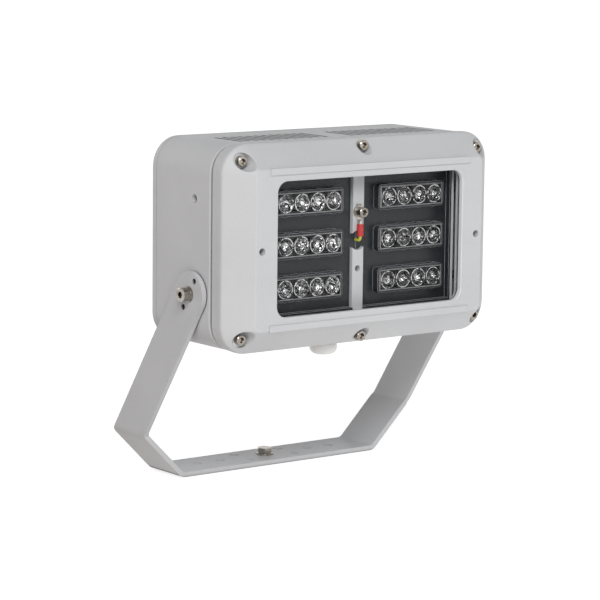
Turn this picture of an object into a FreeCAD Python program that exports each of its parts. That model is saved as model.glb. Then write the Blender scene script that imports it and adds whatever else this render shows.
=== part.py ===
import FreeCAD, Part
import math
import os
import re
import Sketcher

# Infrared illuminator: a cast floodlight housing with six four-lens bars behind
# a window, hung by two pivot screws in a folded flat-bar bracket.
# Millimetres, +Z up, the front faces -Y. The origin is the centre of the
# bracket's base bar on its underside.
# Pieces of the head are drawn in the head's own frame: y is counted from the
# pivot plane and z from the middle of the housing's height.

SIZES = {
    # Bracket
    "bracket_width": 327,        # outside, across the two arms
    "bracket_plate": 5,          # thickness of the flat bar
    "bracket_strip": 52,         # width of the flat bar
    "bracket_corner": 45,        # leg of each 45 degree corner
    "bracket_bend": 7,           # inside bend radius
    "pivot_rise": 191.5,         # pivot axis above the underside
    "pivot_reach": 100,          # pivot axis in front of the base bar
    "base_hole": 9,              # diameter, clear of an 8 mm bolt
    "base_pitch": 27,            # step of the hole grid
    "index_hole": 5.6,           # diameter of the two index holes by the pivot
    "index_pitch": 31,           # from one index hole to the other
    "index_tap": 4.6,            # blind holes behind them
    "index_tap_deep": 4,
    # Hardware
    "bolt_thread": 8,
    "bolt_flats": 13,
    "bolt_head": 5.3,
    "washer_rim": 17,
    "washer_thick": 1.6,
    "pivot_washer": 14,
    "pivot_thread": 8,
    "pivot_head": 13,
    "pivot_head_tall": 8,
    "pivot_hex": 6,
    "pivot_grip": 13,            # screw length inside the housing
    "cover_thread": 6,
    "cover_head": 10,
    "cover_head_tall": 6,
    "cover_hex": 5,
    "cover_grip": 11,
    "screw_edge": 0.6,           # chamfer round a cap screw's head
    "socket_share": 0.55,        # depth of a hex socket over the head's height
    "thread_fit": 0.05,          # radial clearance of a thread or a pivot
    "screw_clear": 0.3,          # radial clearance of a through hole
    "arm_gap": 0.3,              # arm to pivot pad
    "washer_gap": 0.1,           # washer to arm
    # Housing
    "pad_raise": 0.8,            # pivot pads over the sides
    "housing_height": 192.8,
    "corner_radius": 28,
    "housing_front": -26.5,
    "housing_back": 61.5,
    "housing_wall": 5.5,
    "front_web": 6,
    "web_lap": 14,               # ledge under the tray's edge
    "pivot_drop": 44,            # pivots below and spare holes above the middle
    "pivot_pad": 40,
    "pivot_boss": 24,
    "pivot_boss_deep": 16,
    "screw_in_x": 16.9,          # cover screws, in from the housing's sides
    "screw_in_z": 14.4,
    "screw_mid_in": 6,
    "corner_boss": 16,
    "middle_boss": 12,
    "fin_front": -17,
    "fin_back": 30,
    "fin_start": 13,             # first slot from the middle
    "fin_pitch": 9,
    "fin_slot": 6,
    "fin_count": 12,
    "fin_deep": 8,
    "fin_floor": 4,
    "entry_y": 7,
    "entry_bore": 16,
    "entry_boss": 28,
    "entry_boss_tall": 8,
    "plug_out": 19.5,
    "plug_rim": 17,
    "plug_nose": 2,
    # Rear cover and gaskets
    "rear_gasket": 1,
    "rear_thick": 7.5,
    "rear_edge": 2,
    "rear_ease": 0.6,            # chamfer of the cover's inner edge
    "gasket_inset": 3.5,
    "gasket_clear": 0.3,         # round the screw pads
    "front_gasket": 2,
    "joint_step": 2,             # groove round the front joint
    "joint_in": 3,
    "joint_ease": 1.2,
    # Front bezel
    "bezel_over": 0.6,           # bezel over the housing all round
    "bezel_front": -66,
    "bezel_collar": -36,         # parting line on the side wall
    "collar_step": 0.5,
    "slope_wide": 22.8,          # 45 degree border
    "slope_ease": 4,             # radius of its outer edge
    "face_ease": 2.5,            # radius of its inner edge
    "window_x": 221,
    "face_high": 11.2,           # flat face above and below the window
    "window_corner": 11,
    "window_ease": 1,
    "lip_thick": 5,
    "rebate_lap": 7,             # glass rebate round the window
    "land_x": 13.5,              # clamp land round the rebate
    "land_z": 10,
    "cavity_corner": 14,
    "pocket_gap": 2.6,           # round a screw head in its pocket
    "pocket_floor": -46.4,
    "pocket_draft": 5,           # degrees
    "bead_over": 9,              # past the window at each end
    "bead_tall": 6.5,
    "bead_raise": 1,
    "bead_in": 1.9,              # from the edge of the flat face
    "hood_hole": 6.8,
    "hood_hole_deep": 9,
    "hood_hole_in": 29.8,
    # Window
    "glass_thick": 5,
    "glass_gap": 0.5,
    "seal_thick": 1.2,
    "clamp_thick": 2,
    "clamp_inset": 1,
    "clamp_lap": 4.3,            # over the glass rebate
    "clamp_thread": 4,
    "clamp_head": 7,
    "clamp_head_tall": 2.6,
    "clamp_grip": 6,
    # Light tray
    "tray_thick": 8,
    "tray_gap": 4,               # tray in the bezel's cavity
    "tray_rim_out": 2.8,         # inside of the rim, out from the window's edge
    "tray_rim_wide": 2.2,
    "tray_rim_front": -47,
    "rib_wide": 13,
    "rib_front": -44.5,
    "rib_hole": 18.6,
    "earth_hole_z": 27,
    "earth_thread": 6,
    "earth_deep": 10,
    "lead_hole": 8,
    "tray_screw_in": 5.6,
    "tray_thread": 5,
    "tray_head": 8.5,
    "tray_head_tall": 5,
    "tray_grip": 5,
    # Light covers
    "cover_face": -41,
    "cover_thick": 2.5,
    "cover_skirt": 2,
    "cover_gap": 0.4,
    "cover_edge_wide": 2,        # upstand along the outer edges
    "cover_edge_front": -46.6,
    "surround_front": -48.6,
    "surround_wall": 2,
    "surround_corner": 3.5,
    "bump_wide": 11,             # bumps above and below each lens
    "bump_out": 0.6,
    # Lens bars and boards
    "row_pitch": 39.85,
    "bar_x": 61.2,               # middle of a lens bar from the middle plane
    "lens_front": -49.4,
    "lens_pitch": 18.5,
    "lens_count": 4,
    "lens_rim": 17,
    "lens_foot": 9.4,
    "lens_plate": 1.6,
    "plate_x": 75.4,
    "plate_z": 19.4,
    "plate_gap": 0.3,
    "dimple_wide": 8,
    "dimple_deep": 2.5,
    "foot_gap": 0.3,
    "board_thick": 1.6,
    "board_x": 74,
    "board_z": 18,
    "chip_wide": 3.4,
    "chip_tall": 1.4,
    "post_wide": 2.4,
    "board_thread": 3,
    "board_head": 5.4,
    "board_head_tall": 1.6,
    "board_grip": 4,
    # Earth terminal
    "earth_head": 10,
    "earth_head_tall": 6,
    "earth_hex": 5,
    "earth_washer": 12,
    "earth_washer_thick": 1,
    "earth_tab_wide": 5.6,       # tab that stops the washer turning
    "earth_tab_tall": 7.4,
    "spring_washer": 10,
    "spring_thick": 1.6,
    "lug_thick": 0.8,
    "lug_ring": 12,
    "lug_neck": 4.4,
    "lug_barrel_top": 8,
    "lug_long": 14,
    "sleeve_start": 11.3,
    "sleeve_long": 11.4,
    "sleeve_wide": 6.2,
    "sleeve_gap": 0.05,
    "sleeve_clear": 0.15,        # sleeve to rib
    "earth_wire": 3,
    "earth_wire_bend": 3.5,
    "earth_wire_run": 14,        # past the tray before it turns down
    # Driver, terminal block and leads
    "driver_x": 150,
    "driver_z": 64,
    "driver_deep": 30,
    "driver_flange": 12,
    "driver_flange_thick": 2,
    "driver_up": 14,
    "driver_head": 8,
    "driver_head_tall": 3,
    "driver_thread": 4,
    "driver_grip": 5,
    "block_x": 44,
    "block_y": 20,
    "block_z": 18,
    "block_at_x": 62,
    "block_at_y": 20,
    "block_pole": 5,
    "block_pole_deep": 7,
    "block_screw_x": 18,
    "block_thread": 3,
    "block_head": 5.5,
    "block_head_tall": 2,
    "block_grip": 4,
    "lead_wide": 2.6,
    "lead_bend": 4,
    "supply_wide": 4.8,
    "supply_bend": 12,
}

# Sizes that follow from others. The head fills the bracket between its arms.
FOLLOW = {
    "HOUSING_X": "(bracket_width - 2 * (bracket_plate + arm_gap + pad_raise))",
    "BEZEL_X": "(HOUSING_X + 2 * bezel_over)",
    "BEZEL_Z": "(housing_height + 2 * bezel_over)",
    "SCREW_X": "(HOUSING_X / 2 - screw_in_x)",
    "SCREW_Z": "(housing_height / 2 - screw_in_z)",
    "SCREW_MID": "(housing_height / 2 - screw_mid_in)",
    "WINDOW_Z": "(BEZEL_Z - 2 * slope_wide - 2 * face_high)",
    "REBATE_X": "(window_x + 2 * rebate_lap)",
    "REBATE_Z": "(WINDOW_Z + 2 * rebate_lap)",
    "CAVITY_X": "(REBATE_X + 2 * land_x)",
    "CAVITY_Z": "(REBATE_Z + 2 * land_z)",
    "CLAMP_X": "(REBATE_X / 2 + land_x / 2)",
    "CLAMP_Z": "(REBATE_Z / 2 + land_z / 2)",
    "TRAY_X": "(CAVITY_X - 2 * tray_gap)",
    "TRAY_Z": "(CAVITY_Z - 2 * tray_gap)",
    "RIM_X": "(window_x + 2 * tray_rim_out)",
    "RIM_Z": "(WINDOW_Z + 2 * tray_rim_out)",
    "BEAD_Z": "(BEZEL_Z / 2 - slope_wide - bead_in)",
}

SHEET = "Sizes"
doc = FreeCAD.newDocument("illuminator")
pieces = []


def fill_sheet():
    """Write every driving dimension into the sheet under its own alias."""
    sheet = doc.addObject("Spreadsheet::Sheet", SHEET)
    for row, (alias, number) in enumerate(SIZES.items(), start=1):
        sheet.set("A%d" % row, alias)
        sheet.set("B%d" % row, str(number))
        sheet.setAlias("B%d" % row, alias)
    doc.recompute()


def formula(text):
    """Spell out what follows from other sizes, and point every size at its cell."""
    while any(name in text for name in FOLLOW):
        text = re.sub(r"[A-Z_]{4,}", lambda m: FOLLOW.get(m.group(0), m.group(0)), text)

    def cell(match):
        name = match.group(0)
        return SHEET + "." + name if name in SIZES else name

    return re.sub(r"[a-z_]+", cell, text)


def bind(thing, prop, text):
    thing.setExpression(prop, formula(text))


def keep(piece, in_head=True):
    """Name a finished sub-part for export, and place it if it belongs to the head."""
    if in_head:
        bind(piece, "Placement.Base.y", "-pivot_reach")
        bind(piece, "Placement.Base.z", "pivot_rise + pivot_drop")
    pieces.append(piece)
    return piece


def new_body(name, label=None):
    body = doc.addObject("PartDesign::Body", name)
    body.Label = label or name
    return body


def sketch_on(body, name, role, offset="0", across="0", up="0"):
    """A sketch parallel to an origin plane of its own body, offset along the normal."""
    sketch = body.newObject("Sketcher::SketchObject", body.Name + "_" + name)
    plane = next(p for p in body.Origin.OriginFeatures if p.Role == role)
    sketch.AttachmentSupport = [(plane, "")]
    sketch.MapMode = "FlatFace"
    bind(sketch, "AttachmentOffset.Base.x", across)
    bind(sketch, "AttachmentOffset.Base.y", up)
    bind(sketch, "AttachmentOffset.Base.z", offset)
    return sketch


def front_sketch(body, name, y, across="0", up="0"):
    """A sketch seen from the front, in the plane at depth y. Its pads grow towards the front."""
    return sketch_on(body, name, "XZ_Plane", "-(%s)" % y, across, up)


def fix_point(sketch, element, point, x, y):
    for kind, text in (("DistanceX", x), ("DistanceY", y)):
        index = sketch.addConstraint(Sketcher.Constraint(kind, -1, 1, element, point, 1.0))
        bind(sketch, "Constraints[%d]" % index, text)


def outline(sketch, corners):
    """A closed outline of straight lines through corners given as formulas."""
    count = len(corners)
    turn = 2 * math.pi / count
    spots = [FreeCAD.Vector(math.cos(turn * i), math.sin(turn * i), 0) for i in range(count)]
    lines = [sketch.addGeometry(Part.LineSegment(spots[i], spots[(i + 1) % count])) for i in range(count)]
    for i, line in enumerate(lines):
        sketch.addConstraint(Sketcher.Constraint("Coincident", line, 2, lines[(i + 1) % count], 1))
    for line, (x, y) in zip(lines, corners):
        fix_point(sketch, line, 1, x, y)


def rectangle(sketch, left, right, low, high):
    outline(sketch, [(left, low), (right, low), (right, high), (left, high)])


def centred(sketch, wide, tall):
    rectangle(sketch, "-(%s) / 2" % wide, "(%s) / 2" % wide, "-(%s) / 2" % tall, "(%s) / 2" % tall)


def circle(sketch, x, y, diameter):
    ring = sketch.addGeometry(Part.Circle(FreeCAD.Vector(0, 0, 0), FreeCAD.Vector(0, 0, 1), 1))
    fix_point(sketch, ring, 3, x, y)
    index = sketch.addConstraint(Sketcher.Constraint("Radius", ring, 1.0))
    bind(sketch, "Constraints[%d]" % index, "(%s) / 2" % diameter)


def hexagon(sketch, flats):
    reach = "(%s) / sqrt(3)" % flats
    outline(sketch, [("%s * cos(%d)" % (reach, turn), "%s * sin(%d)" % (reach, turn))
                     for turn in range(0, 360, 60)])


def grow(body, kind, sketch, length, back=False):
    """Pad or pocket a sketch by a length. Pads follow the sketch's normal and pockets go against it."""
    feature = body.newObject("PartDesign::" + kind, sketch.Name + "_" + kind.lower())
    feature.Profile = sketch
    feature.Reversed = back
    bind(feature, "Length", length)
    body.Tip = feature
    return feature


def pad(body, sketch, length, back=False):
    return grow(body, "Pad", sketch, length, back)


def pocket(body, sketch, length, back=False):
    """Cut a sketch into the body, and make sure that it took something away."""
    base = body.Tip
    doc.recompute()
    before = base.Shape.Volume
    feature = grow(body, "Pocket", sketch, length, back)
    doc.recompute()
    if feature.Shape.isNull() or feature.Shape.Volume >= before:
        raise RuntimeError(feature.Name + " cuts nothing")
    return feature


def middle(edge):
    return edge.valueAt((edge.FirstParameter + edge.LastParameter) / 2)


def runs_along(edge, axis):
    return isinstance(edge.Curve, Part.Line) and abs(edge.Curve.Direction.dot(axis)) > 0.999


def new_edges(feature, wanted):
    """Names of the edges that a feature brought, of those that are wanted."""
    doc.recompute()
    base = feature.BaseFeature
    old = [middle(e) for e in base.Shape.Edges] if base else []
    names = []
    for number, edge in enumerate(feature.Shape.Edges, start=1):
        fresh = all(middle(edge).distanceToPoint(spot) > 0.01 for spot in old)
        if fresh and wanted(edge):
            names.append("Edge%d" % number)
    return names


def dress(body, kind, prop, feature, edges, size):
    """Fillet or chamfer some edges of the feature at the tip."""
    finish = body.newObject("PartDesign::" + kind, feature.Name + "_" + kind.lower())
    finish.Base = (feature, edges)
    bind(finish, prop, size)
    body.Tip = finish
    return finish


def repeat(body, feature, sketch, length, count):
    """Repeat a feature along its sketch's horizontal axis."""
    pattern = body.newObject("PartDesign::LinearPattern", feature.Name + "_row")
    pattern.Originals = [feature]
    pattern.Direction = (sketch, ["H_Axis"])
    bind(pattern, "Length", length)
    bind(pattern, "Occurrences", count)
    body.Tip = pattern
    return pattern


def mirror(body, features, role):
    """Mirror features in an origin plane of the body."""
    twin = body.newObject("PartDesign::Mirrored", features[0].Name + "_mirror")
    twin.Originals = features
    twin.MirrorPlane = (next(p for p in body.Origin.OriginFeatures if p.Role == role), [""])
    body.Tip = twin
    return twin


def spin(body, sketch):
    """Turn a sketch about its vertical axis."""
    turned = body.newObject("PartDesign::Revolution", sketch.Name + "_turned")
    turned.Profile = sketch
    turned.ReferenceAxis = (sketch, ["V_Axis"])
    turned.Angle = 360
    body.Tip = turned
    return turned


def group(name, master, places, turns=None, in_head=True):
    """Copies of one master piece, each at a place given as three formulas."""
    links = []
    for number, place in enumerate(places):
        link = doc.addObject("App::Link", "%s_%d" % (name, number))
        link.LinkedObject = master
        if turns:
            link.Placement = FreeCAD.Placement(FreeCAD.Vector(), turns[number])
        for letter, text in zip("xyz", place):
            bind(link, "Placement.Base." + letter, text)
        links.append(link)
    copies = doc.addObject("Part::Compound", name)
    copies.Links = links
    return keep(copies, in_head)


# Screws are drawn with the seat of the head at y = 0, the head in front of it
# and the thread behind it.


def plain_screw(name, head, head_tall, thread, length):
    """A low cylinder head on a shank, for screws out of sight."""
    body = new_body(name)
    top = front_sketch(body, "head", "0")
    circle(top, "0", "0", head)
    pad(body, top, head_tall)
    shank = front_sketch(body, "shank", "0")
    circle(shank, "0", "0", thread)
    pad(body, shank, length, back=True)
    return body


def cap_screw(name, head, head_tall, hexagonal, thread, length):
    body = plain_screw(name, head, head_tall, thread, length)
    front = -SIZES[head_tall]
    rim = new_edges_of(body.Tip, lambda e: abs(middle(e).y - front) < 0.01)
    dress(body, "Chamfer", "Size", body.Tip, rim, "screw_edge")
    socket = front_sketch(body, "socket", "-" + head_tall)
    hexagon(socket, hexagonal)
    pocket(body, socket, "%s * socket_share" % head_tall)
    return body


def four(x, z):
    return [("%s * %s" % (a, x), "%s * %s" % (b, z)) for a in (-1, 1) for b in (-1, 1)]


def cover_screw_spots():
    """The six screws that hold the bezel in front and the cover at the back."""
    return four("SCREW_X", "SCREW_Z") + [("0", "SCREW_MID"), ("0", "-SCREW_MID")]


def rounded_outline(sketch, wide, tall, radius):
    """A centred rectangle with round corners: four fixed lines joined by tangent arcs."""
    x, z = "(%s) / 2" % wide, "(%s) / 2" % tall
    near_x, near_z = "(%s - (%s))" % (x, radius), "(%s - (%s))" % (z, radius)
    ends = [((near_x, z), ("-" + near_x, z)), (("-" + x, near_z), ("-" + x, "-" + near_z)),
            (("-" + near_x, "-" + z), (near_x, "-" + z)), ((x, "-" + near_z), (x, near_z))]
    spots = [((2, 3), (-2, 3)), ((-3, 2), (-3, -2)), ((-2, -3), (2, -3)), ((3, -2), (3, 2))]
    lines = []
    for (start, stop), (first, last) in zip(spots, ends):
        line = sketch.addGeometry(Part.LineSegment(FreeCAD.Vector(*start), FreeCAD.Vector(*stop)))
        fix_point(sketch, line, 1, *first)
        fix_point(sketch, line, 2, *last)
        lines.append(line)
    sketch.recompute()
    for i, line in enumerate(lines):
        round_corner(sketch, line, lines[(i + 1) % 4])


def round_corner(sketch, line, after):
    """Join the end of one line to the start of the next, which stands square to it, by an arc."""
    start, stop = sketch.Geometry[line].EndPoint, sketch.Geometry[after].StartPoint
    along = (start - sketch.Geometry[line].StartPoint).normalize()
    radius = (stop - start).dot(along)
    centre = start + FreeCAD.Vector(-along.y, along.x, 0) * radius
    begin = math.atan2(start.y - centre.y, start.x - centre.x)
    whole = Part.Circle(centre, FreeCAD.Vector(0, 0, 1), radius)
    arc = sketch.addGeometry(Part.ArcOfCircle(whole, begin, begin + math.pi / 2))
    sketch.addConstraint(Sketcher.Constraint("Tangent", line, 2, arc, 1))
    sketch.addConstraint(Sketcher.Constraint("Coincident", arc, 2, after, 1))


def rounded_plate(body, name, wide, tall, back, front, radius):
    """A plate with rounded corners between two depths."""
    sketch = front_sketch(body, name, back)
    rounded_outline(sketch, wide, tall, radius)
    return pad(body, sketch, "%s - (%s)" % (back, front))


def rounded_hole(body, name, wide, tall, front, deep, radius):
    """A hole with rounded corners, cut from a front plane towards the back."""
    sketch = front_sketch(body, name, front)
    rounded_outline(sketch, wide, tall, radius)
    return pocket(body, sketch, deep)


def round_holes(body, name, spots, diameter, front, deep):
    sketch = front_sketch(body, name, front)
    for x, z in spots:
        circle(sketch, x, z, diameter)
    return pocket(body, sketch, deep)


def round_bosses(body, name, spots, diameter, back, tall):
    sketch = front_sketch(body, name, back)
    for x, z in spots:
        circle(sketch, x, z, diameter)
    return pad(body, sketch, tall)


# The bracket's arms lean forward from the upper bend to the pivot.
LEAN = "atan(pivot_reach / (pivot_rise - bracket_corner))"
HALF_WIDTH = "bracket_width / 2"
HALF_STRIP = "bracket_strip / 2"
EYE_RADIUS = "%s * cos(%s)" % (HALF_STRIP, LEAN)


def bracket_section(body):
    """The folded section, a U with 45 degree corners, through the whole depth."""
    half, plate, corner = HALF_WIDTH, "bracket_plate", "bracket_corner"
    inner = "bracket_plate * tan(22.5)"
    top = "pivot_rise + " + HALF_STRIP
    outside = [("(%s)" % half, top), ("(%s)" % half, corner), ("(%s - %s)" % (half, corner), "0")]
    inside = [("(%s - %s - %s)" % (half, corner, inner), plate),
              ("(%s - %s)" % (half, plate), "%s + %s" % (corner, inner)),
              ("(%s - %s)" % (half, plate), top)]
    sketch = front_sketch(body, "section", HALF_STRIP)
    outline(sketch, outside + [("-" + x, z) for x, z in outside[::-1] + inside[::-1]] + inside)
    return pad(body, sketch, "pivot_reach + bracket_strip")


def bracket():
    body = new_body("bracket")
    folded = bracket_section(body)
    half = SIZES["bracket_width"] / 2
    upright = FreeCAD.Vector(0, 1, 0)
    outside = new_edges(folded, lambda e: runs_along(e, upright) and on_outer_bend(middle(e), half))
    bend = dress(body, "Fillet", "Radius", folded, outside, "bracket_bend + bracket_plate")
    inside = new_edges_of(bend, lambda e: runs_along(e, upright) and on_inner_bend(middle(e), half))
    dress(body, "Fillet", "Radius", bend, inside, "bracket_bend")
    trim_arms(body)
    arm_eyes(body)
    arm_holes(body)
    base_holes(body)
    return keep(body, in_head=False)


def on_outer_bend(spot, half):
    corner = SIZES["bracket_corner"]
    at_top = abs(abs(spot.x) - half) < 0.01 and abs(spot.z - corner) < 0.01
    at_bottom = abs(abs(spot.x) - (half - corner)) < 0.01 and abs(spot.z) < 0.01
    return at_top or at_bottom


def on_inner_bend(spot, half):
    corner, plate = SIZES["bracket_corner"], SIZES["bracket_plate"]
    inner = plate * math.tan(math.radians(22.5))
    at_top = abs(abs(spot.x) - (half - plate)) < 0.01 and abs(spot.z - corner - inner) < 0.01
    at_bottom = abs(abs(spot.x) - (half - corner - inner)) < 0.01 and abs(spot.z - plate) < 0.01
    return at_top or at_bottom


def new_edges_of(feature, wanted):
    """Names of all the edges of a feature that are wanted."""
    doc.recompute()
    return ["Edge%d" % n for n, e in enumerate(feature.Shape.Edges, start=1) if wanted(e)]


def trim_arms(body):
    """Cut away what lies outside the side view: upright below the bend, leaning above it."""
    width, corner = HALF_STRIP, "bracket_corner"
    lean_y, lean_z = "%s * cos(%s)" % (EYE_RADIUS, LEAN), "%s * sin(%s)" % (EYE_RADIUS, LEAN)
    front = "-(%s)" % width
    eye_front = ("-pivot_reach - " + lean_y, "pivot_rise - " + lean_z)
    eye_back = ("-pivot_reach + " + lean_y, "pivot_rise + " + lean_z)
    far_front, far_back = "-pivot_reach - bracket_strip", "2 * bracket_strip"
    high, low = "pivot_rise + bracket_strip", "-bracket_plate"
    sketch = sketch_on(body, "trim", "YZ_Plane", HALF_WIDTH)
    outline(sketch, [(front, low), (front, corner), eye_front, eye_back, (width, corner), (width, low),
                     (far_back, low), (far_back, high), (far_front, high), (far_front, low)])
    pocket(body, sketch, "bracket_width")


def arm_eyes(body):
    """Round ends of the arms about the pivot."""
    sketch = sketch_on(body, "eye", "YZ_Plane", HALF_WIDTH)
    circle(sketch, "-pivot_reach", "pivot_rise", "2 * " + EYE_RADIUS)
    eye = pad(body, sketch, "bracket_plate", back=True)
    mirror(body, [eye], "YZ_Plane")


def index_spots():
    """Index holes seen from the pivot, one up and one down the leaning arm."""
    y, z = "index_pitch / 2 * sin(%s)" % LEAN, "index_pitch / 2 * cos(%s)" % LEAN
    return [("- " + y, "+ " + z), ("+ " + y, "- " + z)]


def arm_holes(body):
    sketch = sketch_on(body, "arm_holes", "YZ_Plane", HALF_WIDTH)
    circle(sketch, "-pivot_reach", "pivot_rise", "pivot_thread + 2 * thread_fit")
    for y, z in index_spots():
        circle(sketch, "-pivot_reach " + y, "pivot_rise " + z, "index_hole")
    pocket(body, sketch, "bracket_width")


def base_holes(body):
    sketch = sketch_on(body, "base_holes", "XY_Plane", "bracket_plate")
    circle(sketch, "0", "0", "bolt_thread + 2 * thread_fit")
    for x, y in four("base_pitch", "base_pitch / 2"):
        circle(sketch, x, y, "base_hole")
    for step in (-3, -2, 2, 3):
        circle(sketch, "%d * base_pitch" % step, "0", "base_hole")
    pocket(body, sketch, "bracket_plate")


def ring_piece(name, outer, bore, thick):
    """A flat ring with its back face at y = 0."""
    body = new_body(name)
    sketch = front_sketch(body, "ring", "0")
    circle(sketch, "0", "0", outer)
    circle(sketch, "0", "0", bore)
    pad(body, sketch, thick)
    return body


def bracket_bolt():
    """Hex bolt in the middle of the base bar, its thread flush with the underside, on a washer."""
    body = new_body("bracket_bolt")
    head = sketch_on(body, "head", "XY_Plane", "bracket_plate + washer_thick")
    hexagon(head, "bolt_flats")
    pad(body, head, "bolt_head")
    shank = sketch_on(body, "shank", "XY_Plane", "0")
    circle(shank, "0", "0", "bolt_thread")
    pad(body, shank, "bracket_plate + washer_thick")
    keep(body, in_head=False)
    washer = new_body("bracket_bolt_washer")
    ring = sketch_on(washer, "ring", "XY_Plane", "bracket_plate")
    circle(ring, "0", "0", "washer_rim")
    circle(ring, "0", "0", "bolt_thread + 2 * thread_fit")
    pad(washer, ring, "washer_thick")
    keep(washer, in_head=False)


def pivot_hardware():
    """A cap screw and a washer through each arm into the housing's lower side holes."""
    left = FreeCAD.Rotation(FreeCAD.Vector(0, 0, 1), -90)
    right = FreeCAD.Rotation(FreeCAD.Vector(0, 0, 1), 90)
    length = "washer_thick + washer_gap + bracket_plate + arm_gap + pivot_grip"
    screw = cap_screw("pivot_screw_master", "pivot_head", "pivot_head_tall", "pivot_hex", "pivot_thread",
                      length)
    bore = "pivot_thread + 2 * thread_fit"
    washer = ring_piece("pivot_washer_master", "pivot_washer", bore, "washer_thick")
    under = "(bracket_width / 2 + washer_gap)"
    over = "(bracket_width / 2 + washer_gap + washer_thick)"
    for name, master, seat in (("pivot_washers", washer, under), ("pivot_screws", screw, over)):
        spots = [("-" + seat, "0", "-pivot_drop"), (seat, "0", "-pivot_drop")]
        group(name, master, spots, [left, right])


def housing():
    """Cast housing: a rounded box open at the back, a web with an opening in front,
    screw bosses in the corners, pivot pads on the sides and cooling slots on top."""
    body = new_body("housing")
    length = "housing_back - housing_front"
    rounded_plate(body, "shell", "HOUSING_X", "housing_height", "housing_back", "housing_front",
                  "corner_radius")
    joint_groove(body)
    rounded_hole(body, "hollow", "HOUSING_X - 2 * housing_wall", "housing_height - 2 * housing_wall",
                 "housing_front + front_web", length, "corner_radius - housing_wall")
    rounded_hole(body, "opening", "TRAY_X - 2 * web_lap", "TRAY_Z - 2 * web_lap", "housing_front",
                 "front_web", "cavity_corner")
    bosses = "housing_back - housing_front - front_web / 2"
    round_bosses(body, "bosses", four("SCREW_X", "SCREW_Z"), "corner_boss", "housing_back", bosses)
    round_bosses(body, "middle_bosses", [("0", "SCREW_MID"), ("0", "-SCREW_MID")], "middle_boss",
                 "housing_back", bosses)
    slot_floor(body)
    cooling_slots(body)
    side_bosses(body)
    entry(body)
    round_holes(body, "front_taps", cover_screw_spots(), "cover_thread + 2 * thread_fit",
                "housing_front", "cover_grip + 2")
    taps = front_sketch(body, "rear_taps", "housing_back")
    for x, z in cover_screw_spots():
        circle(taps, x, z, "cover_thread + 2 * thread_fit")
    pocket(body, taps, "cover_grip + 2", back=True)
    round_holes(body, "tray_taps", tray_spots(), "tray_thread + 2 * thread_fit", "housing_front", "front_web")
    block_taps = sketch_on(body, "block_taps", "XY_Plane", "housing_wall - housing_height / 2")
    for side in ("-", "+"):
        x = "block_at_x %s block_screw_x" % side
        circle(block_taps, x, "block_at_y", "block_thread + 2 * thread_fit")
    pocket(body, block_taps, "block_grip + 0.5")
    return keep(body)


def joint_groove(body):
    """Groove round the front joint, outside the gasket, with an eased edge on the wall."""
    ring = front_sketch(body, "joint", "housing_front")
    rounded_outline(ring, "HOUSING_X + 2", "housing_height + 2", "corner_radius + 1")
    rounded_outline(ring, "HOUSING_X - 2 * joint_in", "housing_height - 2 * joint_in",
                    "corner_radius - joint_in")
    groove = pocket(body, ring, "joint_step")
    wall = max(abs(middle(e).x) for e in groove.Shape.Edges)
    roof = max(abs(middle(e).z) for e in groove.Shape.Edges)
    radius = SIZES["corner_radius"]

    def outside(edge):
        spot = middle(edge)
        side, up = max(abs(spot.x) - wall + radius, 0), max(abs(spot.z) - roof + radius, 0)
        return math.hypot(side, up) > radius - 0.1

    depth = SIZES["housing_front"] + SIZES["joint_step"]
    rim = new_edges(groove, lambda e: abs(middle(e).y - depth) < 0.01 and outside(e))
    dress(body, "Fillet", "Radius", groove, rim, "joint_ease")


def slot_floor(body):
    """Thicker roof that carries the floor of the cooling slots."""
    under = "housing_height / 2 - fin_deep - fin_floor"
    reach = "fin_start + fin_pitch * fin_count"
    sketch = front_sketch(body, "roof", "fin_back + fin_floor")
    rectangle(sketch, "-(%s)" % reach, reach, under, "housing_height / 2 - housing_wall / 2")
    pad(body, sketch, "fin_back + fin_floor - housing_front - front_web / 2")


def cooling_slots(body):
    """Two rows of front-to-back slots in the top, each side of a plain middle land."""
    sketch = sketch_on(body, "slot", "XY_Plane", "housing_height / 2")
    rectangle(sketch, "fin_start", "fin_start + fin_slot", "fin_front", "fin_back")
    slot = pocket(body, sketch, "fin_deep")
    repeat(body, slot, sketch, "fin_pitch * (fin_count - 1)", "fin_count")
    twin = sketch_on(body, "slot_left", "XY_Plane", "housing_height / 2")
    rectangle(twin, "-fin_start", "-fin_start - fin_slot", "fin_front", "fin_back")
    other = pocket(body, twin, "fin_deep")
    repeat(body, other, twin, "fin_pitch * (fin_count - 1)", "fin_count").Reversed = True


def side_bosses(body):
    """Bosses and tapped holes for the pivots below and the spare holes above, and a raised
    pad with two blind index holes round each pivot."""
    for name, half, inward in (("right", "HOUSING_X / 2", True), ("left", "-HOUSING_X / 2", False)):
        boss = sketch_on(body, name + "_boss", "YZ_Plane", half)
        raised = sketch_on(body, name + "_pad", "YZ_Plane", half)
        face = "%s %s pad_raise" % (half, "+" if inward else "-")
        holes = sketch_on(body, name + "_holes", "YZ_Plane", face)
        for z in ("-pivot_drop", "pivot_drop"):
            circle(boss, "0", z, "pivot_boss")
            circle(holes, "0", z, "pivot_thread + 2 * thread_fit")
        circle(raised, "0", "-pivot_drop", "pivot_pad")
        pad(body, boss, "pivot_boss_deep", back=inward)
        pad(body, raised, "pad_raise", back=not inward)
        pocket(body, holes, "pad_raise + pivot_grip + 1", back=not inward)
        index = sketch_on(body, name + "_index", "YZ_Plane", face)
        for y, z in index_spots():
            circle(index, y, "-pivot_drop " + z, "index_tap")
        pocket(body, index, "pad_raise + index_tap_deep", back=not inward)


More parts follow.
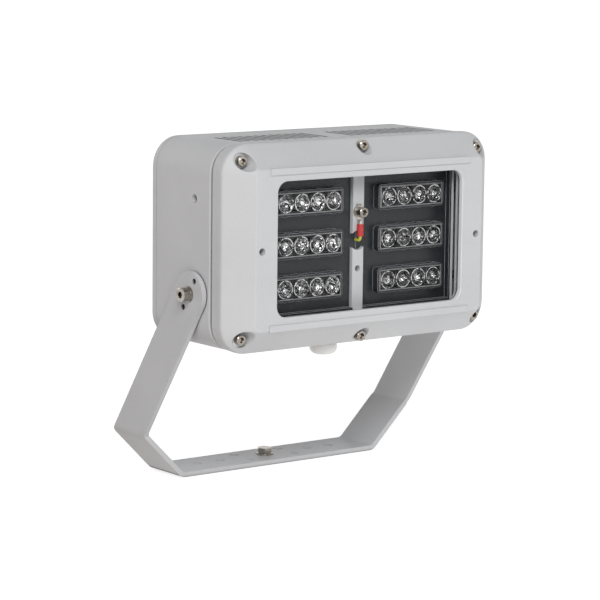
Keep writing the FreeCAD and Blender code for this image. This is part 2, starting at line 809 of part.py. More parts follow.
def entry(body):
    """Tapped cable entry in the floor, behind the pivot plane."""
    boss = sketch_on(body, "entry_boss", "XY_Plane", "-housing_height / 2 + housing_wall / 2")
    circle(boss, "0", "entry_y", "entry_boss")
    pad(body, boss, "housing_wall / 2 + entry_boss_tall")
    bore = sketch_on(body, "entry_bore", "XY_Plane", "-housing_height / 2 + housing_wall + entry_boss_tall")
    circle(bore, "0", "entry_y", "entry_bore + 2 * thread_fit")
    pocket(body, bore, "housing_wall + entry_boss_tall")


def entry_plug():
    """Blanking plug: threaded part in the entry, plain round head with a chamfered nose below."""
    body = new_body("cable_entry_plug")
    thread = sketch_on(body, "thread", "XY_Plane", "-housing_height / 2")
    circle(thread, "0", "entry_y", "entry_bore")
    pad(body, thread, "housing_wall + entry_boss_tall")
    head = sketch_on(body, "head", "XY_Plane", "-housing_height / 2 - plug_out")
    circle(head, "0", "entry_y", "plug_rim")
    knob = pad(body, head, "plug_out")
    low = -SIZES["housing_height"] / 2 - SIZES["plug_out"]
    nose = new_edges(knob, lambda e: abs(middle(e).z - low) < 0.01)
    dress(body, "Chamfer", "Size", knob, nose, "plug_nose")
    keep(body)


def flat_frame(name, outer, inner, back, front, outer_radius, inner_radius):
    """A flat rounded frame. Outer and inner are pairs of full width and height."""
    body = new_body(name)
    rounded_plate(body, "outer", outer[0], outer[1], back, front, outer_radius)
    rounded_hole(body, "inner", inner[0], inner[1], front, "%s - (%s)" % (back, front), inner_radius)
    return keep(body)


def gaskets():
    """Flat gaskets: the front one is cut round the bezel's screw pads, the rear one has
    a hole for each screw."""
    sheet = ("HOUSING_X - 2 * gasket_inset", "housing_height - 2 * gasket_inset")
    front = flat_frame("front_gasket", sheet, ("CAVITY_X", "CAVITY_Z"), "housing_front",
                       "housing_front - front_gasket", "corner_radius - gasket_inset", "cavity_corner")
    hollow = ("HOUSING_X - 2 * housing_wall", "housing_height - 2 * housing_wall")
    back = "housing_back + rear_gasket"
    rear = flat_frame("rear_gasket", ("HOUSING_X", "housing_height"), hollow, back, "housing_back",
                      "corner_radius", "corner_radius - housing_wall")
    wide = "middle_boss + 2 * gasket_clear"
    round_holes(front, "pad_holes", cover_screw_spots(), wide, "housing_front - front_gasket", "front_gasket")
    round_holes(rear, "holes", cover_screw_spots(), "cover_thread + 2 * screw_clear", "housing_back",
                "rear_gasket")


def rear_cover():
    """Flat cover with chamfered edges and taps for the driver inside."""
    body = new_body("rear_cover")
    inside = "housing_back + rear_gasket"
    outside = "(%s + rear_thick)" % inside
    plate = rounded_plate(body, "plate", "HOUSING_X", "housing_height", outside, inside, "corner_radius")
    back = SIZES["housing_back"] + SIZES["rear_gasket"] + SIZES["rear_thick"]
    edges = new_edges_of(plate, lambda e: abs(middle(e).y - back) < 0.01)
    bevel = dress(body, "Chamfer", "Size", plate, edges, "rear_edge")
    seam = SIZES["housing_back"] + SIZES["rear_gasket"]
    edges = new_edges_of(bevel, lambda e: abs(middle(e).y - seam) < 0.01)
    dress(body, "Chamfer", "Size", bevel, edges, "rear_ease")
    round_holes(body, "holes", cover_screw_spots(), "cover_thread + 2 * screw_clear", inside, "rear_thick")
    driver_taps = front_sketch(body, "driver_taps", inside)
    for x, z in driver_spots():
        circle(driver_taps, x, z, "driver_thread + 2 * thread_fit")
    pocket(body, driver_taps, "driver_grip")
    return keep(body)


def cover_screws():
    """Six cap screws in front and six behind, all of one size but of two lengths."""
    front_long = "housing_front - pocket_floor + cover_grip"
    front = cap_screw("bezel_screw_master", "cover_head", "cover_head_tall", "cover_hex", "cover_thread",
                      front_long)
    group("bezel_screws", front, [(x, "pocket_floor", z) for x, z in cover_screw_spots()])
    rear_long = "rear_gasket + rear_thick + cover_grip"
    rear = cap_screw("rear_screw_master", "cover_head", "cover_head_tall", "cover_hex", "cover_thread",
                     rear_long)
    about = FreeCAD.Rotation(FreeCAD.Vector(0, 0, 1), 180)
    spots = [(x, "housing_back + rear_gasket + rear_thick", z) for x, z in cover_screw_spots()]
    group("rear_cover_screws", rear, spots, [about] * len(spots))


def front_bezel():
    """Cast bezel: side wall with a parting step, bulged slope, flat face with two beads,
    counterbored screw pockets, window with a lip, glass rebate and deep back cavity."""
    body = new_body("front_bezel")
    back = "(housing_front - front_gasket)"
    collar = "- 2 * collar_step"
    rounded_plate(body, "collar", "BEZEL_X " + collar, "BEZEL_Z " + collar, back, "bezel_collar",
                  "corner_radius - collar_step")
    rim = rounded_plate(body, "rim", "BEZEL_X", "BEZEL_Z", "bezel_collar", "bezel_front", "corner_radius")
    slope(body, rim)
    for sign in ("", "-"):
        bead(body, "bead_top" if sign == "" else "bead_bottom", sign)
    window = rounded_hole(body, "window", "window_x", "WINDOW_Z", "bezel_front", "lip_thick",
                          "window_corner")
    front = SIZES["bezel_front"]
    rim = new_edges(window, lambda e: abs(middle(e).y - front) < 0.01)
    dress(body, "Fillet", "Radius", window, rim, "window_ease")
    rounded_hole(body, "rebate", "REBATE_X", "REBATE_Z", "bezel_front + lip_thick",
                 "seal_thick + glass_thick", "window_corner")
    shoulder = "bezel_front + lip_thick + seal_thick + glass_thick"
    rounded_hole(body, "cavity", "CAVITY_X", "CAVITY_Z", shoulder, "%s - (%s)" % (back, shoulder),
                 "cavity_corner")
    round_bosses(body, "pads", cover_screw_spots(), "middle_boss", "housing_front", "front_gasket")
    deep = "(pocket_floor - bezel_front + 1)"
    mouth = "cover_head + 2 * pocket_gap + 2 * tan(pocket_draft) * " + deep
    pockets = round_holes(body, "pockets", cover_screw_spots(), mouth, "bezel_front - 1", deep)
    bind(pockets, "TaperAngle", "-pocket_draft")
    round_holes(body, "screw_holes", cover_screw_spots(), "cover_thread + 2 * screw_clear",
                "pocket_floor", "housing_front - pocket_floor")
    hood = "(BEZEL_X / 2 - hood_hole_in)"
    round_holes(body, "hood_holes", [(hood, "0"), ("-" + hood, "0")], "hood_hole", "bezel_front",
                "hood_hole_deep")
    clamp_taps = front_sketch(body, "clamp_taps", shoulder)
    for x, z in clamp_spots():
        circle(clamp_taps, x, z, "clamp_thread + 2 * thread_fit")
    pocket(body, clamp_taps, "clamp_grip", back=True)
    return keep(body)


def slope(body, rim):
    """Sloped border all round the face, its two edges eased."""
    front = SIZES["bezel_front"]
    foot = front + SIZES["slope_wide"]
    face_edges = new_edges_of(rim, lambda e: abs(middle(e).y - front) < 0.01)
    border = dress(body, "Chamfer", "Size", rim, face_edges, "slope_wide")
    outer = new_edges_of(border, lambda e: abs(middle(e).y - foot) < 0.01)
    eased = dress(body, "Fillet", "Radius", border, outer, "slope_ease")
    inner = new_edges_of(eased, lambda e: abs(middle(e).y - front) < 0.01)
    dress(body, "Fillet", "Radius", eased, inner, "face_ease")


def bead(body, name, sign):
    """Low bead across the face, above or below the window, square towards the window only."""
    sketch = front_sketch(body, name, "bezel_front")
    reach = "(window_x / 2 + bead_over)"
    rectangle(sketch, "-" + reach, reach, sign + "BEAD_Z - bead_tall / 2", sign + "BEAD_Z + bead_tall / 2")
    strip = pad(body, sketch, "bead_raise")
    top = SIZES["bezel_front"] - SIZES["bead_raise"]
    long_edge = FreeCAD.Vector(1, 0, 0)
    tops = new_edges(strip, lambda e: runs_along(e, long_edge) and abs(middle(e).y - top) < 0.01)
    outer = max(tops, key=lambda name: abs(middle(strip.Shape.getElement(name)).z))
    dress(body, "Fillet", "Radius", strip, [outer], "bead_raise * 0.9")


def clamp_spots():
    middles = [("0", "CLAMP_Z"), ("0", "-CLAMP_Z")]
    return four("CLAMP_X", "WINDOW_Z / 3") + four("window_x / 3", "CLAMP_Z") + middles


def window_pack():
    """Front seal, glass and clamp frame, stacked behind the lip, with ten screws."""
    lip_back = "(bezel_front + lip_thick)"
    glass_front = "(bezel_front + lip_thick + seal_thick)"
    glass_back = "(bezel_front + lip_thick + seal_thick + glass_thick)"
    glass = ("REBATE_X - 2 * glass_gap", "REBATE_Z - 2 * glass_gap")
    flat_frame("window_seal", glass, ("window_x", "WINDOW_Z"), glass_front, lip_back,
               "window_corner - glass_gap", "window_corner")
    pane = new_body("window_glass")
    rounded_plate(pane, "pane", glass[0], glass[1], glass_back, glass_front, "window_corner - glass_gap")
    keep(pane)
    frame = new_body("window_clamp")
    front = glass_back
    back = "(%s + clamp_thick)" % glass_back
    rounded_plate(frame, "outer", "CAVITY_X - 2 * clamp_inset", "CAVITY_Z - 2 * clamp_inset", back, front,
                  "cavity_corner - clamp_inset")
    rounded_hole(frame, "inner", "REBATE_X - 2 * clamp_lap", "REBATE_Z - 2 * clamp_lap", front,
                 "clamp_thick", "window_corner")
    round_holes(frame, "holes", clamp_spots(), "clamp_thread + 2 * screw_clear", front, "clamp_thick")
    keep(frame)
    screw = plain_screw("clamp_screw_master", "clamp_head", "clamp_head_tall", "clamp_thread",
                         "clamp_thick + clamp_grip - 0.5")
    about = FreeCAD.Rotation(FreeCAD.Vector(0, 0, 1), 180)
    spots = [(x, back, z) for x, z in clamp_spots()]
    group("window_clamp_screws", screw, spots, [about] * len(spots))


def tray_spots():
    return four("(TRAY_X / 2 - tray_screw_in)", "WINDOW_Z / 3")


def light_tray():
    """Cast tray: heat-spreading plate with a raised rim, a raised centre rib with a round
    gap for the earth wire, two tapped earth holes and three wire holes."""
    body = new_body("light_tray")
    front = "(housing_front - tray_thick)"
    rounded_plate(body, "plate", "TRAY_X", "TRAY_Z", "housing_front", front,
                  "cavity_corner - clamp_inset")
    rim = front_sketch(body, "rim", front)
    centred(rim, "RIM_X + 2 * tray_rim_wide", "RIM_Z + 2 * tray_rim_wide")
    centred(rim, "RIM_X", "RIM_Z")
    pad(body, rim, front + " - tray_rim_front")
    rib = front_sketch(body, "rib", front)
    rectangle(rib, "-rib_wide / 2", "rib_wide / 2", "-RIM_Z / 2", "RIM_Z / 2")
    pad(body, rib, front + " - rib_front")
    round_holes(body, "rib_gap", [("0", "0")], "rib_hole", "rib_front", front + " - rib_front")
    round_holes(body, "wire_hole", [("0", "0")], "lead_hole", front, "tray_thick")
    round_holes(body, "earth_taps", [("0", "earth_hole_z"), ("0", "-earth_hole_z")],
                "earth_thread + 2 * thread_fit", "rib_front", "earth_deep")
    round_holes(body, "lead_holes", [("bar_x", "row_pitch / 2"), ("-bar_x", "row_pitch / 2")],
                "lead_hole", front, "tray_thick")
    round_holes(body, "screw_holes", tray_spots(), "tray_thread + 2 * screw_clear", front, "tray_thick")
    boards = [("%s * bar_x + %s * lens_pitch" % (a, b), "%d * row_pitch" % c)
              for a in (-1, 1) for b in (-1, 1) for c in (-1, 0, 1)]
    round_holes(body, "board_taps", boards, "board_thread + 2 * thread_fit", front, "board_grip + 0.5")
    keep(body)
    screw = plain_screw("tray_screw_master", "tray_head", "tray_head_tall", "tray_thread",
                         "tray_thick + tray_grip")
    group("light_tray_screws", screw, [(x, front, z) for x, z in tray_spots()])


def light_cover():
    """Black moulded cover: face plate on a skirt, with three raised surrounds round the lens bars."""
    body = new_body("light_cover_right")
    inner_x = "rib_wide / 2 + cover_gap"
    outer_x = "RIM_X / 2 - cover_gap"
    high = "(RIM_Z / 2 - cover_gap)"
    seat = "(housing_front - tray_thick)"
    block = front_sketch(body, "block", seat)
    rectangle(block, inner_x, outer_x, "-" + high, high)
    pad(body, block, seat + " - cover_face")
    under = front_sketch(body, "under", seat)
    rectangle(under, inner_x + " + cover_skirt", outer_x + " - cover_skirt", "-%s + cover_skirt" % high,
              high + " - cover_skirt")
    pocket(body, under, seat + " - cover_face - cover_thick", back=True)
    upstand(body, inner_x, outer_x, high)
    for number, step in enumerate((-1, 0, 1)):
        surround(body, number, "%d * row_pitch" % step)
    gap_tab(body)
    keep(body)
    twin = doc.addObject("Part::Mirroring", "light_cover_left")
    twin.Source = body
    twin.Normal = FreeCAD.Vector(1, 0, 0)
    pieces.append(twin)


def upstand(body, inner_x, outer_x, high):
    """Low wall along the three outer edges of the cover."""
    sketch = front_sketch(body, "upstand", "cover_face")
    near_x, near_z = outer_x + " - cover_edge_wide", "(%s - cover_edge_wide)" % high
    outline(sketch, [(inner_x, "-" + high), (outer_x, "-" + high), (outer_x, high), (inner_x, high),
                     (inner_x, near_z), (near_x, near_z), (near_x, "-" + near_z), (inner_x, "-" + near_z)])
    pad(body, sketch, "cover_face - cover_edge_front")


def surround(body, number, up):
    """Raised surround round one lens bar, with a bump above and below each lens."""
    tall = "cover_face - surround_front"
    wall = "(surround_wall + plate_gap)"
    wide, high = "plate_x + 2 * " + wall, "plate_z + 2 * " + wall
    sketch = front_sketch(body, "surround_%d" % number, "cover_face", "bar_x", up)
    rounded_outline(sketch, wide, high, "surround_corner")
    pad(body, sketch, tall)
    bumps = front_sketch(body, "bumps_%d" % number, "cover_face", "bar_x", up)
    out = "((%s) / 2 + bump_out - bump_wide / 2)" % high
    for place in (-1.5, -0.5, 0.5, 1.5):
        circle(bumps, "%s * lens_pitch" % place, out, "bump_wide")
        circle(bumps, "%s * lens_pitch" % place, "-" + out, "bump_wide")
    pad(body, bumps, tall)
    opening = front_sketch(body, "opening_%d" % number, "surround_front", "bar_x", up)
    centred(opening, "plate_x + 2 * plate_gap", "plate_z + 2 * plate_gap")
    pocket(body, opening, tall + " + cover_thick + 1")


def gap_tab(body):
    """Half of a round tab that fills the gap in the rib, with half of a hole for the earth wire."""
    round_bosses(body, "tab", [("0", "0")], "rib_hole - 2 * cover_gap", "cover_face + cover_thick",
                 "cover_thick")
    trim = front_sketch(body, "tab_trim", "cover_face")
    rectangle(trim, "-rib_hole / 2", "cover_gap / 2", "-rib_hole / 2", "rib_hole / 2")
    pocket(body, trim, "cover_thick")
    round_holes(body, "wire_notch", [("0", "0")], "earth_wire + 2 * screw_clear", "cover_face",
                "cover_thick")


def lens_bar_master():
    """Clear moulding: a front plate with four collimator cones, each with a dimple in
    front, and four posts that stand on the board."""
    body = new_body("lens_bar_master")
    board = "(housing_front - tray_thick - board_thick)"
    foot = "(%s - chip_tall - foot_gap)" % board
    behind = "lens_front + lens_plate"
    plate = front_sketch(body, "plate", behind)
    centred(plate, "plate_x", "plate_z")
    pad(body, plate, "lens_plate")
    cone = sketch_on(body, "cone", "XY_Plane", "0", "-(lens_count - 1) / 2 * lens_pitch")
    outline(cone, [("0", behind + " + dimple_deep"), ("dimple_wide / 2", behind), ("lens_rim / 2", behind),
                   ("lens_foot / 2", foot), ("0", foot)])
    cones = spin(body, cone)
    row = front_sketch(body, "dimples", "lens_front", "-(lens_count - 1) / 2 * lens_pitch")
    circle(row, "0", "0", "dimple_wide")
    repeat(body, cones, row, "lens_pitch * (lens_count - 1)", "lens_count")
    dimple = pocket(body, row, "lens_plate")
    repeat(body, dimple, row, "lens_pitch * (lens_count - 1)", "lens_count")
    posts = front_sketch(body, "posts", board)
    for x, z in four("(plate_x / 2 - post_wide)", "(plate_z / 2 - post_wide)"):
        circle(posts, x, z, "post_wide")
    pad(body, posts, "%s - (%s)" % (board, behind))
    return body


def board_master():
    """Metal-core board with two screw holes between its emitters."""
    body = new_body("board_master")
    back = "housing_front - tray_thick"
    sketch = front_sketch(body, "board", back)
    centred(sketch, "board_x", "board_z")
    circle(sketch, "lens_pitch", "0", "board_thread + 2 * screw_clear")
    circle(sketch, "-lens_pitch", "0", "board_thread + 2 * screw_clear")
    pad(body, sketch, "board_thick")
    return body


def light_rows():
    """Six boards, each with a lens bar over it, in two columns of three."""
    lens, board = lens_bar_master(), board_master()
    for side, sign in (("left", "-"), ("right", "")):
        for level, step in (("top", 1), ("middle", 0), ("bottom", -1)):
            place = [(sign + "bar_x", "0", "%d * row_pitch" % step)]
            group("lens_bar_%s_%s" % (side, level), lens, place)
            group("led_board_%s_%s" % (side, level), board, place)
    emitters()
    head = "housing_front - tray_thick - board_thick"
    screw = plain_screw("board_screw_master", "board_head", "board_head_tall", "board_thread",
                        "board_thick + board_grip")
    spots = [("%s * bar_x + %s * lens_pitch" % (a, b), head, "%d * row_pitch" % c)
             for a in (-1, 1) for b in (-1, 1) for c in (-1, 0, 1)]
    group("led_board_screws", screw, spots)


def emitters():
    """Twenty-four infrared emitters, one under each lens."""
    body = new_body("emitter_master")
    sketch = front_sketch(body, "chip", "0")
    centred(sketch, "chip_wide", "chip_wide")
    pad(body, sketch, "chip_tall")
    face = "housing_front - tray_thick - board_thick"
    spots = [("%d * bar_x + %s * lens_pitch" % (side, place), face, "%d * row_pitch" % row)
             for side in (-1, 1) for place in (-1.5, -0.5, 0.5, 1.5) for row in (-1, 0, 1)]
    group("led_emitters", body, spots)


WIRE_LINE = "(rib_front - sleeve_wide / 2 - sleeve_clear)"


def earth_terminal():
    """Tabbed washer, ring lug, spring washer and cap screw on the upper half of the rib."""
    z = "earth_hole_z"
    bore = "earth_thread + 2 * thread_fit"
    plain = new_body("earth_washer")
    disc = front_sketch(plain, "disc", "rib_front", "0", z)
    circle(disc, "0", "0", "earth_washer")
    pad(plain, disc, "earth_washer_thick")
    tab = front_sketch(plain, "tab", "rib_front", "0", z)
    rectangle(tab, "-earth_tab_wide / 2", "earth_tab_wide / 2", "0", "earth_tab_tall")
    pad(plain, tab, "earth_washer_thick")
    round_holes(plain, "bore", [("0", z)], bore, "rib_front - earth_washer_thick", "earth_washer_thick")
    keep(plain)
    lug_back = "rib_front - earth_washer_thick"
    lug = new_body("earth_lug")
    ring = front_sketch(lug, "ring", lug_back, "0", z)
    circle(ring, "0", "0", "lug_ring")
    pad(lug, ring, "lug_thick")
    neck = front_sketch(lug, "neck", lug_back, "0", z)
    rectangle(neck, "-lug_neck / 2", "lug_neck / 2", "-lug_barrel_top - 1", "0")
    pad(lug, neck, "lug_thick")
    barrel = sketch_on(lug, "barrel", "XY_Plane", z + " - lug_long")
    circle(barrel, "0", WIRE_LINE, "lug_neck")
    pad(lug, barrel, "lug_long - lug_barrel_top")
    round_holes(lug, "bore", [("0", z)], bore, lug_back + " - lug_thick", "lug_thick")
    keep(lug)
    sleeve = new_body("earth_sleeve")
    tube = sketch_on(sleeve, "tube", "XY_Plane", z + " - sleeve_start - sleeve_long")
    circle(tube, "0", WIRE_LINE, "sleeve_wide")
    circle(tube, "0", WIRE_LINE, "lug_neck + 2 * sleeve_gap")
    pad(sleeve, tube, "sleeve_long")
    keep(sleeve)
    spring = ring_piece("spring_washer_master", "spring_washer", bore, "spring_thick")
    group("earth_spring_washer", spring, [("0", lug_back + " - lug_thick", z)])
    stack = "earth_washer_thick + lug_thick + spring_thick"
    screw = cap_screw("earth_screw_master", "earth_head", "earth_head_tall", "earth_hex", "earth_thread",
                      "%s + earth_deep - 1" % stack)
    group("earth_screw", screw, [("0", "rib_front - (%s)" % stack, z)])


def driver_spots():
    reach = "(driver_x / 2 + driver_flange / 2)"
    return [(a + reach, "driver_up %s driver_z / 4" % b) for a in ("-", "") for b in ("-", "+")]


def power():
    """Sealed driver on the inside of the rear cover, and a terminal block on the housing's floor."""
    back = "(housing_back + rear_gasket)"
    driver = new_body("driver")
    can = front_sketch(driver, "can", back)
    low, high = "driver_up - driver_z / 2", "driver_up + driver_z / 2"
    rectangle(can, "-driver_x / 2", "driver_x / 2", low, high)
    pad(driver, can, "driver_deep")
    feet = front_sketch(driver, "feet", back)
    reach = "driver_x / 2 + driver_flange"
    rectangle(feet, "-(%s)" % reach, reach, low, high)
    pad(driver, feet, "driver_flange_thick")
    round_holes(driver, "holes", driver_spots(), "driver_thread + 2 * screw_clear",
                back + " - driver_flange_thick", "driver_flange_thick")
    keep(driver)
    screw = plain_screw("driver_screw_master", "driver_head", "driver_head_tall", "driver_thread",
                        "driver_flange_thick + driver_grip - 0.5")
    group("driver_screws", screw, [(x, back + " - driver_flange_thick", z) for x, z in driver_spots()])
    floor = "(housing_wall - housing_height / 2)"
    block = new_body("terminal_block")
    base = sketch_on(block, "base", "XY_Plane", floor)
    rectangle(base, "block_at_x - block_x / 2", "block_at_x + block_x / 2", "block_at_y - block_y / 2",
              "block_at_y + block_y / 2")
    pad(block, base, "block_z")
    poles = sketch_on(block, "poles", "XY_Plane", floor + " + block_z")
    for step in (-1, 0, 1):
        circle(poles, "block_at_x %+d * block_x / 4" % step, "block_at_y", "block_pole")
    pocket(block, poles, "block_pole_deep")
    through = sketch_on(block, "through", "XY_Plane", floor + " + block_z")
    for side in ("-", "+"):
        x = "block_at_x %s block_screw_x" % side
        circle(through, x, "block_at_y", "block_thread + 2 * screw_clear")
    pocket(block, through, "block_z")
    keep(block)
    screw = plain_screw("block_screw_master", "block_head", "block_head_tall", "block_thread",
                        "block_z + block_grip")
    down = FreeCAD.Rotation(FreeCAD.Vector(1, 0, 0), -90)
    spots = [("block_at_x %s block_screw_x" % side, "block_at_y", floor + " + block_z")
             for side in ("-", "+")]
    group("terminal_block_screws", screw, spots, [down, down])


def bent_rod(name, stops, diameter, radius):
    """A round wire along straight runs joined by tangent arcs, in the head's frame."""
    spots = [FreeCAD.Vector(*stop) for stop in stops]
    edges = []
    start = spots[0]
    for before, corner, after in zip(spots, spots[1:], spots[2:]):
        into, out = (corner - before).normalize(), (after - corner).normalize()
        half_turn = into.getAngle(out) / 2
        trim = radius * math.tan(half_turn)
        enter, leave = corner - into * trim, corner + out * trim
        bulge = (out - into).normalize() * (radius / math.cos(half_turn) - radius)
        edges.append(Part.LineSegment(start, enter).toShape())
        edges.append(Part.Arc(enter, corner + bulge, leave).toShape())
        start = leave
    edges.append(Part.LineSegment(start, spots[-1]).toShape())
    first = (spots[1] - spots[0]).normalize()
    section = Part.Wire([Part.Circle(spots[0], first, diameter / 2).toShape()])
    rod = doc.addObject("Part::Feature", name)
    rod.Shape = Part.Wire(edges).makePipeShell([section], True, False)
    return keep(rod)


def wiring():
    """Earth wire with its sleeve, and the leads between terminal block, driver and boards."""
    sheet = doc.getObject(SHEET)
    size = {name: float(sheet.get(name)) for name in SIZES}
    front = size["housing_front"]
    wire_y = size["rib_front"] - size["sleeve_wide"] / 2 - size["sleeve_clear"]
    barrel_low = size["earth_hole_z"] - size["lug_long"]
    block_top = size["block_z"] + size["housing_wall"] - size["housing_height"] / 2
    pole_step = size["block_x"] / 4
    pole = [(size["block_at_x"] + step * pole_step, size["block_at_y"], block_top - size["block_pole_deep"])
            for step in (-1, 0, 1)]
    inside = front + size["earth_wire_run"]
    low = block_top + 2 * size["supply_bend"]
    driver_low = size["driver_up"] - size["driver_z"] / 2
    driver_front = size["housing_back"] + size["rear_gasket"] - size["driver_deep"]
    supply_y = driver_front + size["driver_deep"] / 2
    turn = (driver_low + block_top) / 2
    bent_rod("supply_lead", [pole[1], (pole[1][0], pole[1][1], turn), (pole[1][0], supply_y, turn),
                             (pole[1][0], supply_y, driver_low)], size["supply_wide"], size["supply_bend"])
    lead_y = front - size["tray_thick"] - size["lead_wide"] / 2 - size["foot_gap"]
    board_low = size["row_pitch"] - size["board_z"] / 2
    for name, x in (("led_lead_left", -size["bar_x"]), ("led_lead_right", size["bar_x"])):
        bent_rod(name, [(x, driver_front, size["row_pitch"] / 2), (x, lead_y, size["row_pitch"] / 2),
                        (x, lead_y, board_low)], size["lead_wide"], size["lead_bend"])
    over_pole = (pole[0][0], pole[0][1], low)
    bent_rod("earth_wire", [(0, wire_y, barrel_low), (0, wire_y, 0), (0, inside, 0), over_pole, pole[0]],
             size["earth_wire"], size["earth_wire_bend"])


def check():
    """Refuse to write anything while an object has failed or a shape is bad."""
    doc.recompute()
    for thing in doc.Objects:
        if "Invalid" in thing.State or "Error" in thing.State:
            raise RuntimeError("%s failed: %s" % (thing.Name, thing.State))
    for piece in pieces:
        if piece.Shape.isNull() or not piece.Shape.isValid() or not piece.Shape.Solids:
            raise RuntimeError(piece.Label + " has a bad shape")


def write():
    os.makedirs("parts", exist_ok=True)
    for piece in pieces:
        piece.Shape.exportStep("parts/%s.step" % piece.Label)


def build():
    fill_sheet()
    bracket()
    bracket_bolt()
    pivot_hardware()
    housing()
    entry_plug()
    gaskets()
    rear_cover()
    front_bezel()
    cover_screws()
    window_pack()
    light_tray()
    light_cover()
    light_rows()
    earth_terminal()
    power()
    wiring()
    check()
    write()


build()
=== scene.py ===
import math

import bmesh
import bpy
from mathutils import Matrix, Vector


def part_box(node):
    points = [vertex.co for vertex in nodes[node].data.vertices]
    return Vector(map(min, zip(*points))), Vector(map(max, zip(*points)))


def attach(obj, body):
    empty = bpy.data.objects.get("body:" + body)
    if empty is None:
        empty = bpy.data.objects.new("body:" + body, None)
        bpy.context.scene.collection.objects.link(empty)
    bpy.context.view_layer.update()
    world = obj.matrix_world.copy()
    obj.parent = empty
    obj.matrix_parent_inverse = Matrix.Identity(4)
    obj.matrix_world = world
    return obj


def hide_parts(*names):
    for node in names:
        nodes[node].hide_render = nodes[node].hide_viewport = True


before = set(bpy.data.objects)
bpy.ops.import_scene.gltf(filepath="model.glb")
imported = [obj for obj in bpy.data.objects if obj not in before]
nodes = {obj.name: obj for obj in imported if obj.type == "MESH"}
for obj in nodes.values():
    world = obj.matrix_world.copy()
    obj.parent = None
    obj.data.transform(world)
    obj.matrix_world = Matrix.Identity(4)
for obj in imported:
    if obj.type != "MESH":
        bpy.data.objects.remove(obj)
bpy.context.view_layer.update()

# Sizes are in metres, angles in degrees and colours linear. An azimuth of 0 is straight in front.

PIVOT = Vector((0, -0.1, 0.1915))    # middle of the tilt's axis

CAMERA_AZIMUTH = -37.43
CAMERA_ELEVATION = 8.45
CAMERA_ROLL = 0.66
CAMERA_DISTANCE = 2.57277
CAMERA_AIM = PIVOT + Vector((-0.034, 0, -0.01591))
SENSOR_WIDTH = 36                    # mm
FOCAL_LENGTH = 162.18                # mm

SOFT_EDGE = 0.0001                   # half the width of a mask's edge
SLOTS_X = (0.0125, 0.1215)           # reach of the cooling slots, out from the middle
SLOTS_Y = (-0.1172, -0.0698)
SLOTS_DOWN = (0.0005, 0.0099)        # below the housing's top
GLASS_LAP = 0.0058                   # glass behind the window's lip
LIP_AHEAD = (0.0060, 0.0007)         # the lip's wall, ahead of the glass

LENS_COUNT = 4                       # in one bar
LENS_PITCH = 0.0185
LENS_RIM = 0.0085                    # radius
LENS_PLATE = 0.0016                  # thickness of the plate that joins the lenses
LENS_SHADE = 0.006                   # reach of the shading, to either side of a lens
RIM_WIDTH = 0.0006
PLATE_BORDER = 0.0005

WIRE_SLANT = 0.6                     # climb of the stripe across the wire
WIRE_STRIPE = (0.2325, 0.2355)

PLUG_SHANK = 0.0078                  # radius in the bore
PLUG_SHOULDER = 0.0132               # radius of the cap under the boss
PLUG_RIM = 0.0133                    # radius of the cap at its widest
PLUG_SEAT = 0.0113                   # height of the cap
PLUG_FLANK = 0.0068                  # height at which its round nose begins
PLUG_ROUND = (0.007, 0.0064)         # width and height of the round nose
PLUG_FOOT = [(0.0055, 0.0002), (0.003, 0), (0, 0)]
PLUG_EDGE = 0.0006
ROUND_STEPS = 12
TURNED_SIDES = 72

FLOOR_SIZE = 30
FLOOR_DROP = 0.0004                  # below the bracket's bar
LAMP_DISTANCE = 6.0
LAMP_SIZE = (3.0, 2.4)
LAMPS = [("key", -38, 34, 208), ("fill", 180, 3, 130)]      # azimuth, elevation and watts
DARK_SIDE = (0.20, 0.80, 0.57)       # direction from which the least light comes

WHITE = (1.0, 1.0, 1.0)
CASTING_GREY = (0.60, 0.605, 0.615)  # paint of the housing, bezel and rear cover
GREEN = (0.02, 0.11, 0.02)
YELLOW = (0.75, 0.72, 0.08)

# Sockets of a Mix node that mixes colours.
MIX_FACTOR, MIX_FIRST, MIX_SECOND, MIX_RESULT = 0, 6, 7, 2


def grey(tone):
    return (tone, tone, tone)


def shade(colour, factor):
    return tuple(min(1.0, part * factor) for part in colour)


def toward(azimuth, elevation):
    """Unit direction from the lamp head to a camera or a lamp."""
    turn = math.radians(azimuth)
    rise = math.radians(elevation)
    return Vector((math.sin(turn) * math.cos(rise), -math.cos(turn) * math.cos(rise), math.sin(rise)))


# Camera, fitted to the photograph's perspective.

def make_camera():
    back = toward(CAMERA_AZIMUTH, CAMERA_ELEVATION)
    roll = math.radians(CAMERA_ROLL)
    right = (-back).cross(Vector((0, 0, 1))).normalized()
    up = right.cross(-back)
    across = right * math.cos(roll) + up * math.sin(roll)
    upward = up * math.cos(roll) - right * math.sin(roll)
    data = bpy.data.cameras.new("camera")
    data.sensor_width = SENSOR_WIDTH
    data.lens = FOCAL_LENGTH
    data.clip_start = 0.05
    data.clip_end = 50
    camera = bpy.data.objects.new("camera", data)
    turned = Matrix((across, upward, back)).transposed().to_4x4()
    camera.matrix_world = Matrix.Translation(CAMERA_AIM + back * CAMERA_DISTANCE) @ turned
    bpy.context.scene.collection.objects.link(camera)
    bpy.context.scene.camera = camera


# Small helpers for shader nodes.

